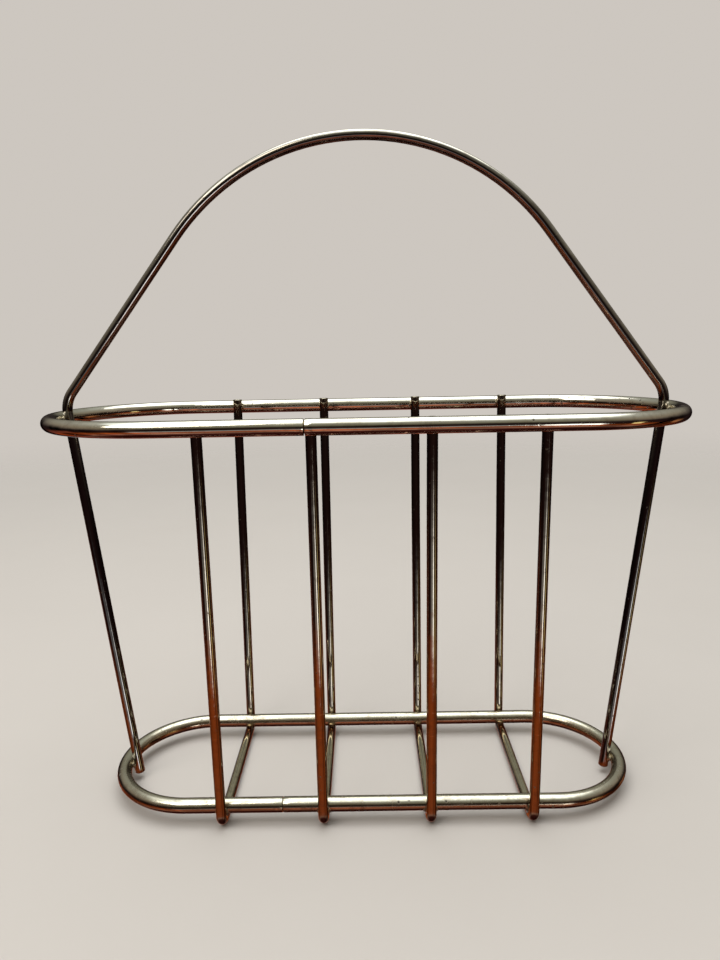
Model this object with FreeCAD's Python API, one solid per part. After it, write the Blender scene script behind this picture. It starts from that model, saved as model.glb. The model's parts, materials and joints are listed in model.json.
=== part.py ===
import FreeCAD, Part

import math
import os

# A wire magazine rack in brass. Two long oval rims of tube, the lower one smaller, are held apart by
# four U-shaped rod hoops, which pass under the lower rim as floor bars, and by one long rod that makes
# both end legs and the carrying arch between them. Millimetres, +Z up, long side along X, front at -Y.
# Origin: on the floor, under the middle of the rims.

# Rims: outside sizes of the two ovals
top_rim_length = 406.0
top_rim_depth = 164.0
top_rim_height = 258.0        # floor to the highest line of the top rim
base_rim_length = 352.0
base_rim_depth = 116.0
rim_diameter = 9.5
rim_wall = 1.2

# Rods: hoops and handle frame are bent from the same stock
rod_diameter = 6.35
rod_end_round = 0.5           # filed edge at each cut end

# Hoops: where the four stand along the rims
hoop_middle_gap = 67.4        # between the two inner hoops, centre to centre
hoop_outer_gap = 63.8         # between an inner and an outer hoop
hoop_row_shift = 3.5          # the whole row stands this far to the right of the rims' middle
hoop_rear_proud = 1.0         # rear ends stand above the top rim
hoop_front_low = 1.0          # front ends stop below the top rim's highest line

# Handle frame: legs, shoulders and arch in one upright plane
handle_height = 424.0         # floor to the top of the arch
crown_radius = 145.0          # centre line of the arch
shoulder_radius = 19.0        # centre line of the bend between a leg and the slanted run above it
leg_past_rim = 3.5            # a leg stays straight this far above the top rim's centre line
handle_forward = 3.8          # the frame's plane lies this far in front of the rims' middle
leg_floor_gap = 5.0           # cut ends of the legs above the floor

# Butt seams of the rims, on the front straights, and the plugs inside them
top_seam_x = -33.0
base_seam_x = -56.0
seam_gap = 0.8
spigot_length = 36.0
spigot_clearance = 0.03

# Brazed joints
joint_gap = 0.1               # between a rod and the rim beside it, filled with braze
braze_leg = 1.0               # how far the braze reaches up both surfaces

# Worked out from the sizes above
rim_radius = rim_diameter / 2
rod_radius = rod_diameter / 2
bore_radius = rim_radius - rim_wall
contact = rim_radius + joint_gap + rod_radius    # centre line to centre line at a joint
top_z = top_rim_height - rim_radius
base_z = rod_radius + contact                    # the base rim rests on the floor bars

HOOP_PLACES = {
    "hoop_left_outer": hoop_row_shift - hoop_middle_gap / 2 - hoop_outer_gap,
    "hoop_left_inner": hoop_row_shift - hoop_middle_gap / 2,
    "hoop_right_inner": hoop_row_shift + hoop_middle_gap / 2,
    "hoop_right_outer": hoop_row_shift + hoop_middle_gap / 2 + hoop_outer_gap,
}

SHORTEST_RUN = 1e-6


def rounded_path(corners, radii):
    """Open path through the corners, with each inner corner rounded to its radius."""
    edges = []
    start = corners[0]
    for before, corner, after, radius in zip(corners, corners[1:], corners[2:], radii):
        back = (before - corner).normalize()
        onward = (after - corner).normalize()
        half_angle = back.getAngle(onward) / 2
        reach = radius / math.tan(half_angle)
        inward = (back + onward).normalize()
        centre = corner + inward * (radius / math.sin(half_angle))
        entry = corner + back * reach
        if start.distanceToPoint(entry) > SHORTEST_RUN:
            edges.append(Part.LineSegment(start, entry).toShape())
        leave = corner + onward * reach
        edges.append(Part.Arc(entry, centre - inward * radius, leave).toShape())
        start = leave
    edges.append(Part.LineSegment(start, corners[-1]).toShape())
    return Part.Wire(edges)


def swept_rod(path, radius):
    """Solid round bar along a path, cut square at both ends."""
    first = path.Edges[0]
    profile = Part.Wire(Part.makeCircle(radius, first.valueAt(first.FirstParameter),
                                        first.tangentAt(first.FirstParameter)))
    return path.makePipeShell([profile], True, False)


def filed_ends(rod):
    """The rod with the edges of its two cut ends rounded."""
    ends = [face for face in rod.Faces if isinstance(face.Surface, Part.Plane)]
    return rod.makeFillet(rod_end_round, [edge for face in ends for edge in face.Edges])


def rim_centre_line(length, depth, z, seam_x):
    """Half length and end radius of a rim's centre line, and its path from seam to seam."""
    half_length = length / 2 - rim_radius
    end_radius = depth / 2 - rim_radius
    corners = [
        FreeCAD.Vector(seam_x + seam_gap / 2, -end_radius, z),
        FreeCAD.Vector(half_length, -end_radius, z),
        FreeCAD.Vector(half_length, end_radius, z),
        FreeCAD.Vector(-half_length, end_radius, z),
        FreeCAD.Vector(-half_length, -end_radius, z),
        FreeCAD.Vector(seam_x - seam_gap / 2, -end_radius, z),
    ]
    return half_length, end_radius, rounded_path(corners, [end_radius] * 4)


def rim_tube(path):
    return swept_rod(path, rim_radius).cut(swept_rod(path, bore_radius))


def spigot(seam_x, end_radius, z):
    start = FreeCAD.Vector(seam_x - spigot_length / 2, -end_radius, z)
    return Part.makeCylinder(bore_radius - spigot_clearance, spigot_length, start, FreeCAD.Vector(1, 0, 0))


def hoop_path(x):
    """Front end, down and under the base rim, along the floor, up to the rear end.

    Each upright touches the top rim from inside and the base rim from outside, so its lean is that of
    the inner tangent of the two rims' sections. The bend below has its centre on the base rim's."""
    out = top_end_radius - base_end_radius
    up = top_z - base_z
    lean = math.atan2(out, up) - math.asin(2 * contact / math.hypot(out, up))

    def upright_y(z):
        return base_end_radius + contact / math.cos(lean) + (z - base_z) * math.tan(lean)

    front_z = top_rim_height - hoop_front_low
    rear_z = top_rim_height + hoop_rear_proud
    corners = [
        FreeCAD.Vector(x, -upright_y(front_z), front_z),
        FreeCAD.Vector(x, -upright_y(rod_radius), rod_radius),
        FreeCAD.Vector(x, upright_y(rod_radius), rod_radius),
        FreeCAD.Vector(x, upright_y(rear_z), rear_z),
    ]
    return rounded_path(corners, [contact, contact])


def handle_path():
    """Left leg, shoulder, arch, shoulder, right leg. Both legs lie inside both rims' round ends.

    The slanted run between shoulder and arch is the outer tangent of the two bends' circles."""
    lean = math.atan2(top_half_length - base_half_length, top_z - base_z)
    inset = contact / math.cos(lean)

    def leg_x_at_rim(half_length, end_radius):
        return half_length - end_radius + math.sqrt((end_radius - inset) ** 2 - handle_forward ** 2)

    top_x = leg_x_at_rim(top_half_length, top_end_radius)
    base_x = leg_x_at_rim(base_half_length, base_end_radius)

    def leg_x(z):
        return base_x + (top_x - base_x) * (z - base_z) / (top_z - base_z)

    bend_z = top_z + leg_past_rim
    bend_x = leg_x(bend_z)
    crown_z = handle_height - rod_radius - crown_radius
    shoulder_centre_x = bend_x - shoulder_radius * math.cos(lean)
    crown_rise = crown_z - (bend_z + shoulder_radius * math.sin(lean))
    between_centres = math.hypot(shoulder_centre_x, crown_rise)
    slant = (math.atan2(crown_rise, shoulder_centre_x)
             + math.asin((crown_radius - shoulder_radius) / between_centres))

    reach = shoulder_radius * math.tan((math.pi / 2 - slant + lean) / 2)
    shoulder = (bend_x + reach * math.sin(lean), bend_z + reach * math.cos(lean))
    peak = (0.0, shoulder[1] + shoulder[0] * math.tan(slant))
    right = [shoulder, (leg_x(leg_floor_gap), leg_floor_gap)]
    outline = [(-x, z) for x, z in reversed(right)] + [peak] + right
    corners = [FreeCAD.Vector(x, -handle_forward, z) for x, z in outline]
    return rounded_path(corners, [shoulder_radius, crown_radius, shoulder_radius])


def braze(rod, path, rim_section, rim_skin):
    """Filler where a rod meets a rim: all that is near both surfaces and inside neither piece."""
    near_rod = swept_rod(path, rod_radius + braze_leg)
    filler = near_rod.common(rim_skin).cut(rim_section).cut(rod)
    return filler.Solids


def straight_rim_braze(rod, path, x, y, z):
    """Braze of a hoop on a rim's straight at (x, y, z), the rim's centre there."""
    reach = rod_radius + braze_leg
    start = FreeCAD.Vector(x - reach, y, z)
    along = FreeCAD.Vector(1, 0, 0)
    section = Part.makeCylinder(rim_radius, 2 * reach, start, along)
    skin = Part.makeCylinder(rim_radius + braze_leg, 2 * reach, start, along)
    return braze(rod, path, section, skin)


def round_end_braze(rod, path, side, half_length, end_radius, z):
    """Braze of a leg on a rim's round end, on side -1 (left) or 1 (right)."""
    centre = FreeCAD.Vector(side * (half_length - end_radius), 0, z)
    up = FreeCAD.Vector(0, 0, 1)
    section = Part.makeTorus(end_radius, rim_radius, centre, up)
    skin = Part.makeTorus(end_radius, rim_radius + braze_leg, centre, up)
    return braze(rod, path, section, skin)


def save(name, shape):
    shape.exportStep(f"parts/{name}.step")
    print(f"{name}: {len(shape.Solids)} solid(s), {shape.Volume:.1f} mm3, valid {shape.isValid()}")


os.makedirs("parts", exist_ok=True)

top_half_length, top_end_radius, top_path = rim_centre_line(top_rim_length, top_rim_depth, top_z, top_seam_x)
base_half_length, base_end_radius, base_path = rim_centre_line(base_rim_length, base_rim_depth, base_z,
                                                               base_seam_x)
save("top_rim", rim_tube(top_path))
save("base_rim", rim_tube(base_path))
save("top_rim_spigot", spigot(top_seam_x, top_end_radius, top_z))
save("base_rim_spigot", spigot(base_seam_x, base_end_radius, base_z))

hoop_joints = {
    "braze_top_front": (-top_end_radius, top_z),
    "braze_top_rear": (top_end_radius, top_z),
    "braze_base_front": (-base_end_radius, base_z),
    "braze_base_rear": (base_end_radius, base_z),
}
filler = {name: [] for name in hoop_joints}
for name, x in HOOP_PLACES.items():
    path = hoop_path(x)
    hoop = filed_ends(swept_rod(path, rod_radius))
    save(name, hoop)
    for joint, (y, z) in hoop_joints.items():
        filler[joint] += straight_rim_braze(hoop, path, x, y, z)

path = handle_path()
handle_frame = filed_ends(swept_rod(path, rod_radius))
save("handle_frame", handle_frame)
leg_joints = {
    "braze_handle_top": (top_half_length, top_end_radius, top_z),
    "braze_handle_base": (base_half_length, base_end_radius, base_z),
}
for joint, place in leg_joints.items():
    filler[joint] = [solid for side in (-1, 1) for solid in round_end_braze(handle_frame, path, side, *place)]

for joint, solids in filler.items():
    save(joint, Part.makeCompound(solids))
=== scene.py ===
"""A wire magazine rack in aged brass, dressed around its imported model.

Two long oval rims of tube, the lower one smaller, are held apart by four rod hoops that pass under the lower
rim as floor bars, and by one long rod that makes both end legs and the carrying arch between them.
Metres, +Z up, long side along X, front at -Y.
"""

import json
import logging
import math
from dataclasses import dataclass, field, replace
from enum import Enum
from typing import Any, Callable, Sequence

import bmesh
import bpy
from mathutils import Matrix, Vector

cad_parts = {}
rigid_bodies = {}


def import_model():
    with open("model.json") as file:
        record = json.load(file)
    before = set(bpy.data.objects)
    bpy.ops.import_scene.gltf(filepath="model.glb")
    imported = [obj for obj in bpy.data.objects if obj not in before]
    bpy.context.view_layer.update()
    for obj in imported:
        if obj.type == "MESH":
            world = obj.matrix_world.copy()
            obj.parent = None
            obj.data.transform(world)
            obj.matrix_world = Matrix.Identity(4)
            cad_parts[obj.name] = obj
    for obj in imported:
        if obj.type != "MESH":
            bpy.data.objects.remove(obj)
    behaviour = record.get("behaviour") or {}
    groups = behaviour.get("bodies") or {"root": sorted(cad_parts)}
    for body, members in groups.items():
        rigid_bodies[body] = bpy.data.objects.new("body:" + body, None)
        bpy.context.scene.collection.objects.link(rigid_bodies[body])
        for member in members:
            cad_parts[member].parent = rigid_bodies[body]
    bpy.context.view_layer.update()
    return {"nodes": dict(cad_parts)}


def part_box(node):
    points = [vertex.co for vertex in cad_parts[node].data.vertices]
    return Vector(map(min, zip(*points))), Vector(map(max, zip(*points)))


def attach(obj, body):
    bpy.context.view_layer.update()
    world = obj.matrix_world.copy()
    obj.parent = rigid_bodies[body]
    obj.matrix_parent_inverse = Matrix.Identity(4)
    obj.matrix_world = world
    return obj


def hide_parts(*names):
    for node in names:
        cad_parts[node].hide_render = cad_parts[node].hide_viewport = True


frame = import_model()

LOG = logging.getLogger("magazine_rack")
BODY = "root"
UP = Vector((0.0, 0.0, 1.0))
MM = 0.001
NO_LENGTH = 1e-7
NODES_IN_ROW, NODE_WIDTH, NODE_HEIGHT = 12, 220, 260
ROD_SPACE = "rod_space"  # vertex attribute: distance along the rod, then the two cross-section offsets

Colour = tuple[float, float, float, float]
Span = tuple[float, float]
Triple = tuple[float, float, float]
Inputs = dict[str | int, Any]  # a node's socket names or numbers, to values or to the sockets that feed them
Socket = bpy.types.NodeSocket
Sockets = bpy.types.bpy_prop_collection
NodeTree = bpy.types.NodeTree
Material = bpy.types.Material
Object = bpy.types.Object
BMesh = bmesh.types.BMesh
BMVert = bmesh.types.BMVert


class Slot(Enum):
    """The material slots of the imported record."""

    TUBE = "aged_brass_tube"
    ROD = "aged_brass_rod"
    BRAZE = "braze_filler"
    PLUG = "brass_plug"


class Face(Enum):
    """The rack's long sides, by the sign of Y."""

    FRONT = -1
    REAR = 1


class End(Enum):
    """The rack's short ends, by the sign of X."""

    LEFT = -1
    RIGHT = 1


# ------------------------------------------------------------------------------------------- node building


@dataclass(frozen=True)
class Pattern:
    """A noise pattern, and the soft mask that is cut from it.

    Its scale counts cells per unit of the vector that it is read at, so per metre where that is a position.
    The mask is 0 where the noise is at most empty and 1 where it is at least full.
    """

    scale: float
    layers: float = 3.0
    rough: float = 0.5
    empty: float = 0.0
    full: float = 1.0


class Bench:
    """Places nodes in one node tree and joins them."""

    def __init__(self, tree: NodeTree) -> None:
        """Starts on an existing tree.

        Args:
            tree: The tree that the nodes go into.
        """
        self.tree = tree
        self.ids: dict[str, str] = {}
        self._placed = 0

    @classmethod
    def group(
        cls, name: str, kind: str, inputs: dict[str, tuple[str, Any]], outputs: dict[str, str]
    ) -> "Bench":
        """Makes a node group with named sockets.

        Args:
            name: Name of the group.
            kind: "ShaderNodeTree" or "GeometryNodeTree".
            inputs: Socket name to its type and default; a default of None is left as it is.
            outputs: Socket name to its type.

        Returns:
            A bench on the new group, with its socket identifiers in ids.
        """
        bench = cls(bpy.data.node_groups.new(name, kind))
        for label, (socket_type, default) in inputs.items():
            socket = bench.tree.interface.new_socket(name=label, in_out="INPUT", socket_type=socket_type)
            if default is not None:
                socket.default_value = default
            bench.ids[label] = socket.identifier
        for label, socket_type in outputs.items():
            bench.tree.interface.new_socket(name=label, in_out="OUTPUT", socket_type=socket_type)
        return bench

    def node(self, kind: str, inputs: Inputs | None = None, **settings: Any) -> bpy.types.Node:
        """Adds a node.

        Args:
            kind: Blender's type name of the node.
            inputs: Socket name or number to a value, or to the output socket that feeds it.
            settings: Properties of the node itself.

        Returns:
            The new node.
        """
        node = self.tree.nodes.new(kind)
        down, along = divmod(self._placed, NODES_IN_ROW)
        node.location = (NODE_WIDTH * along, -NODE_HEIGHT * down)
        self._placed += 1
        for name, value in settings.items():
            setattr(node, name, value)
        for key, value in (inputs or {}).items():
            if isinstance(value, Socket):
                self.tree.links.new(value, node.inputs[key])
            else:
                node.inputs[key].default_value = value
        return node

    def calc(self, operation: str, *values: Any, clamp: bool = False) -> Socket:
        """Output of a Math node on the values."""
        inputs = dict(enumerate(values))
        return self.node("ShaderNodeMath", inputs, operation=operation, use_clamp=clamp).outputs[0]

    def vector(self, operation: str, *values: Any) -> Socket:
        """Output of a Vector Math node on the values: a vector, or the number that the operation gives."""
        node = self.node("ShaderNodeVectorMath", dict(enumerate(values)), operation=operation)
        return node.outputs["Value" if operation in ("LENGTH", "DISTANCE", "DOT_PRODUCT") else "Vector"]

    def scaled(self, vector: Socket, factor: Any) -> Socket:
        """The vector times one number."""
        inputs = {0: vector, "Scale": factor}
        return self.node("ShaderNodeVectorMath", inputs, operation="SCALE").outputs["Vector"]

    def ease(self, value: Socket, start: Any, end: Any) -> Socket:
        """Smooth 0 to 1 as value goes from start to end.

        Args:
            value: Value to ease.
            start: Value that gives 0.
            end: Value that gives 1.

        Returns:
            The eased value.
        """
        return self.node(
            "ShaderNodeMapRange",
            {"Value": value, "From Min": start, "From Max": end},
            interpolation_type="SMOOTHSTEP",
        ).outputs[0]

    def mix(self, factor: Any, a: Any, b: Any, how: str = "MIX") -> Socket:
        """Colour a blended with colour b by factor.

        Args:
            factor: Share of the blend, from 0 to 1.
            a: Colour that is blended over.
            b: Colour that is blended in.
            how: Blend mode.

        Returns:
            The blended colour.
        """
        return self.node(
            "ShaderNodeMix", {0: factor, 6: a, 7: b}, data_type="RGBA", blend_type=how, clamp_factor=True
        ).outputs[2]

    def noise(self, pattern: Pattern, vector: Socket) -> Socket:
        """Value of the pattern's noise at the vector, near 0 to 1."""
        inputs = {"Scale": pattern.scale, "Detail": pattern.layers, "Roughness": pattern.rough}
        return self.node("ShaderNodeTexNoise", {"Vector": vector, **inputs}).outputs[0]

    def mask(self, pattern: Pattern, vector: Socket) -> Socket:
        """The pattern's soft mask at the vector."""
        return self.ease(self.noise(pattern, vector), pattern.empty, pattern.full)

    def shift(self, size: Socket, seed: Socket, layers: float) -> Socket:
        """A random vector at each point, within half a unit each way.

        Args:
            size: Length over which it changes.
            seed: Picks the draw.
            layers: How many finer layers it has.

        Returns:
            The vector.
        """
        noise = self.node(
            "ShaderNodeTexNoise",
            {
                "Vector": self.node("GeometryNodeInputPosition").outputs[0],
                "W": seed,
                "Scale": self.calc("DIVIDE", 1.0, size),
                "Detail": layers,
            },
            noise_dimensions="4D",
        )
        return self.vector("SUBTRACT", noise.outputs["Color"], (0.5, 0.5, 0.5))

    def smooth(self, geometry: Socket) -> Socket:
        """The geometry with all its faces shaded smooth."""
        inputs = {"Geometry": geometry, "Shade Smooth": True}
        return self.node("GeometryNodeSetShadeSmooth", inputs).outputs[0]

    def bump(self, height: Socket, distance: float, strength: float = 1.0) -> Socket:
        """Normal of a surface with the height given in steps of the distance."""
        inputs = {"Strength": strength, "Distance": distance, "Height": height}
        return self.node("ShaderNodeBump", inputs).outputs[0]

    def surface(self, inputs: Inputs) -> None:
        """Ends a material with a Principled shader on these inputs."""
        shader = self.node("ShaderNodeBsdfPrincipled", inputs)
        self.node("ShaderNodeOutputMaterial", {"Surface": shader.outputs[0]})


# -------------------------------------------------------------------------------------------- centre lines


class CentreLine:
    """The middle line of a bent rod: straight runs joined by round bends, as fine points."""

    def __init__(
        self,
        corners: Sequence[Vector],
        radii: Sequence[float],
        end_round: float = 0.0,
        run: float = 4 * MM,
        turn: float = math.radians(4.0),
    ) -> None:
        """Rounds each inner corner to its radius and divides runs and bends.

        Args:
            corners: The line's ends and, between them, where its straight runs would meet.
            radii: Bend radius at each inner corner.
            end_round: Rounding of the rod's cut ends, which needs close points there.
            run: Longest step on a straight run.
            turn: Largest step round a bend, in radians.
        """
        self.points: list[Vector] = [corners[0].copy()]
        for before, corner, after, radius in zip(corners, corners[1:], corners[2:], radii):
            back = (before - corner).normalized()
            onward = (after - corner).normalized()
            half_angle = back.angle(onward) / 2
            entry = corner + back * (radius / math.tan(half_angle))
            centre = corner + (back + onward).normalized() * (radius / math.sin(half_angle))
            self._run_to(entry, run)
            spoke = entry - centre
            axis = spoke.cross(-back)
            sweep = math.pi - 2 * half_angle
            steps = max(2, math.ceil(sweep / turn))
            for step in range(1, steps + 1):
                self.points.append(centre + Matrix.Rotation(sweep * step / steps, 3, axis) @ spoke)
        self._run_to(corners[-1], run)
        if end_round:
            self._crowd_ends(end_round)

    def _run_to(self, target: Vector, longest: float) -> None:
        """Adds even points from the last point to the target.

        Args:
            target: Where the run ends.
            longest: Longest step.
        """
        start = self.points[-1]
        length = (target - start).length
        if length < NO_LENGTH:
            return
        steps = max(1, math.ceil(length / longest))
        self.points += [start.lerp(target, step / steps) for step in range(1, steps + 1)]

    def _crowd_ends(self, end_round: float, steps: int = 5) -> None:
        """Adds points within end_round of both ends, spaced as a quarter circle needs them.

        Args:
            end_round: Radius of the quarter circle.
            steps: Points added at each end.
        """
        angles = [math.pi / 2 * step / steps for step in range(1, steps + 1)]
        reaches = [end_round * (1 - math.cos(angle)) for angle in angles]

        def near(end: Vector, neighbour: Vector) -> list[Vector]:
            """The new points at one end, counted from it."""
            heading = (neighbour - end).normalized()
            return [end + heading * reach for reach in reaches]

        head = near(self.points[0], self.points[1])
        tail = near(self.points[-1], self.points[-2])
        self.points[1:1] = head
        self.points[-1:-1] = tail[::-1]

    def place_of(self, target: Vector) -> float:
        """Finds the place on the line that is nearest to the target.

        Args:
            target: Point near the line.

        Returns:
            The distance from the start.
        """
        travelled, best, found = 0.0, math.inf, 0.0
        for start, end in zip(self.points, self.points[1:]):
            step = end - start
            share = max(0.0, min(1.0, (target - start).dot(step) / step.length_squared))
            gap = (start + step * share - target).length
            if gap < best:
                best, found = gap, travelled + step.length * share
            travelled += step.length
        return found

    def at(self, distance: float) -> tuple[Vector, Vector]:
        """Finds a place on the line.

        Args:
            distance: Distance along the line from its start.

        Returns:
            The point there, and the line's heading.
        """
        for start, end in zip(self.points, self.points[1:]):
            step = end - start
            if distance <= step.length:
                break
            distance -= step.length
        return start + step.normalized() * distance, step.normalized()

    def mesh(self, name: str) -> bpy.types.Mesh:
        """The line as a mesh of points and edges.

        Args:
            name: Name of the mesh.

        Returns:
            The mesh.
        """
        mesh = bpy.data.meshes.new(name)
        mesh.from_pydata(self.points, [(k, k + 1) for k in range(len(self.points) - 1)], [])
        return mesh


# ------------------------------------------------------------------------------------------ geometry trees


def link(obj: Object) -> Object:
    """Puts an object into the scene and returns it."""
    bpy.context.scene.collection.objects.link(obj)
    return obj


def object_of(mesh: BMesh, name: str) -> Object:
    """Moves a built mesh into a new object of the scene.

    Args:
        mesh: The built mesh, which is freed.
        name: Name of the object and of its mesh.

    Returns:
        The object.
    """
    data = bpy.data.meshes.new(name)
    mesh.to_mesh(data)
    mesh.free()
    return link(bpy.data.objects.new(name, data))


class GrownPiece:
    """A Geometry Nodes tree that turns a small base mesh into a finished piece."""

    def __init__(self, bench: Bench) -> None:
        """Keeps the tree and its socket identifiers."""
        self.bench = bench

    def _finish(self, piece: Socket, finish: Socket) -> None:
        """Ends the tree: one plain mesh with its material.

        Args:
            piece: The tree's geometry.
            finish: Its material.
        """
        real = self.bench.node("GeometryNodeRealizeInstances", {"Geometry": piece}).outputs[0]
        done = self.bench.node("GeometryNodeSetMaterial", {"Geometry": real, "Material": finish}).outputs[0]
        self.bench.node("NodeGroupOutput", {0: done})

    def grow(
        self,
        name: str,
        base: bpy.types.Mesh,
        inputs: dict[str, Any],
        finishing: Callable[[Object], None] | None = None,
    ) -> Object:
        """Runs the tree on the base mesh and keeps the result as a plain mesh.

        Args:
            name: Name of the finished piece.
            base: Mesh that the tree starts from.
            inputs: Named inputs of the tree.
            finishing: Adds further modifiers after the tree.

        Returns:
            The piece, at the origin, with no modifiers.
        """
        rough = link(bpy.data.objects.new(name + "_base", base))
        modifier = rough.modifiers.new("grow", "NODES")
        modifier.node_group = self.bench.tree
        for label, value in inputs.items():
            modifier[self.bench.ids[label]] = value
        if finishing:
            finishing(rough)
        graph = bpy.context.evaluated_depsgraph_get()
        mesh = bpy.data.meshes.new_from_object(rough.evaluated_get(graph), depsgraph=graph)
        mesh.name = name
        bpy.data.objects.remove(rough)
        bpy.data.meshes.remove(base)
        return link(bpy.data.objects.new(name, mesh))


class RodSweep(GrownPiece):
    """Sweeps a round section along a centre line, slightly uneven, as hand-bent stock is."""

    def __init__(self) -> None:
        """Builds the tree."""
        bench = Bench.group(
            "Swept rod",
            "GeometryNodeTree",
            {
                "Centre Line": ("NodeSocketGeometry", None),
                "Radius": ("NodeSocketFloat", 3 * MM),
                "End Round": ("NodeSocketFloat", 0.0),
                "Sides": ("NodeSocketInt", 32),
                "Solid": ("NodeSocketBool", True),
                "Wave Height": ("NodeSocketFloat", 0.0),
                "Wave Length": ("NodeSocketFloat", 0.1),
                "Seed": ("NodeSocketFloat", 0.0),
                "Crease Angle": ("NodeSocketFloat", math.radians(40)),
                "Finish": ("NodeSocketMaterial", None),
            },
            {"Piece": "NodeSocketGeometry"},
        )
        super().__init__(bench)
        given = bench.node("NodeGroupInput").outputs
        line = bench.node("GeometryNodeMeshToCurve", {"Mesh": given["Centre Line"]}).outputs[0]
        along = bench.node("GeometryNodeSplineParameter").outputs["Length"]
        total = bench.node("GeometryNodeSplineLength").outputs["Length"]
        from_end = bench.calc("MINIMUM", along, bench.calc("SUBTRACT", total, along))
        kept = bench.node("GeometryNodeCaptureAttribute")
        kept.capture_items.new("FLOAT", "Along")
        kept.capture_items.new("FLOAT", "From End")
        bench.tree.links.new(line, kept.inputs["Geometry"])
        bench.tree.links.new(along, kept.inputs["Along"])
        bench.tree.links.new(from_end, kept.inputs["From End"])

        waved = bench.node(
            "GeometryNodeSetPosition",
            {"Geometry": kept.outputs["Geometry"], "Offset": self._waves(given)},
        ).outputs[0]

        circle = bench.node("GeometryNodeCurvePrimitiveCircle", {"Resolution": given["Sides"], "Radius": 1.0})
        section = bench.node("GeometryNodeCaptureAttribute")
        section.capture_items.new("VECTOR", "Section")
        bench.tree.links.new(circle.outputs[0], section.inputs["Geometry"])
        bench.tree.links.new(bench.node("GeometryNodeInputPosition").outputs[0], section.inputs["Section"])

        swept = bench.node(
            "GeometryNodeCurveToMesh",
            {
                "Curve": waved,
                "Profile Curve": section.outputs["Geometry"],
                "Scale": self._radius(given, kept.outputs["From End"]),
                "Fill Caps": given["Solid"],
            },
        ).outputs[0]
        across = bench.node(
            "ShaderNodeSeparateXYZ", {0: bench.scaled(section.outputs["Section"], given["Radius"])}
        ).outputs
        rod_space = bench.node("ShaderNodeCombineXYZ", {0: kept.outputs["Along"], 1: across[0], 2: across[1]})
        marked = bench.node(
            "GeometryNodeStoreNamedAttribute",
            {"Geometry": swept, "Name": ROD_SPACE, "Value": rod_space.outputs[0]},
            data_type="FLOAT_VECTOR",
            domain="POINT",
        ).outputs[0]
        smooth = bench.smooth(marked)
        steep = bench.node("GeometryNodeInputMeshEdgeAngle").outputs["Unsigned Angle"]
        creased = bench.node(
            "GeometryNodeSetShadeSmooth",
            {
                "Geometry": smooth,
                "Selection": bench.calc("GREATER_THAN", steep, given["Crease Angle"]),
                "Shade Smooth": False,
            },
            domain="EDGE",
        ).outputs[0]
        self._finish(creased, given["Finish"])

    def _waves(self, given: Sockets) -> Socket:
        """Small sideways shift of the centre line, from noise with a fixed seed."""
        shift = self.bench.shift(given["Wave Length"], given["Seed"], layers=1.0)
        return self.bench.scaled(shift, self.bench.calc("MULTIPLY", given["Wave Height"], 2.0))

    def _radius(self, given: Sockets, from_end: Socket) -> Socket:
        """Makes the section smaller within End Round of a cut end, as a quarter circle.

        Args:
            given: The tree's inputs.
            from_end: Distance to the nearer cut end.

        Returns:
            The radius.
        """
        calc, end_round = self.bench.calc, given["End Round"]
        short = calc("MAXIMUM", calc("SUBTRACT", end_round, from_end), 0.0)
        squared = calc("SUBTRACT", calc("POWER", end_round, 2.0), calc("POWER", short, 2.0))
        grown = calc("SQRT", calc("MAXIMUM", squared, 0.0))
        return calc("ADD", calc("SUBTRACT", given["Radius"], end_round), grown)


class FilletRow(GrownPiece):
    """Sets one braze fillet at every point and roughens each a little differently."""

    def __init__(self) -> None:
        """Builds the tree."""
        bench = Bench.group(
            "Row of fillets",
            "GeometryNodeTree",
            {
                "Places": ("NodeSocketGeometry", None),
                "Fillet": ("NodeSocketObject", None),
                "Unevenness": ("NodeSocketFloat", 0.2 * MM),
                "Lump Size": ("NodeSocketFloat", 3 * MM),
                "Seed": ("NodeSocketFloat", 0.0),
                "Finish": ("NodeSocketMaterial", None),
            },
            {"Piece": "NodeSocketGeometry"},
        )
        super().__init__(bench)
        given = bench.node("NodeGroupInput").outputs
        fillet = bench.node("GeometryNodeObjectInfo", {"Object": given["Fillet"]}).outputs["Geometry"]
        copies = {"Points": given["Places"], "Instance": fillet}
        row = bench.node("GeometryNodeInstanceOnPoints", copies).outputs[0]
        real = bench.node("GeometryNodeRealizeInstances", {"Geometry": row}).outputs[0]
        lumps = bench.scaled(bench.shift(given["Lump Size"], given["Seed"], layers=2.0), given["Unevenness"])
        uneven = bench.node("GeometryNodeSetPosition", {"Geometry": real, "Offset": lumps}).outputs[0]
        smooth = bench.smooth(uneven)
        self._finish(smooth, given["Finish"])


# ------------------------------------------------------------------------------------------- shader groups


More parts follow.
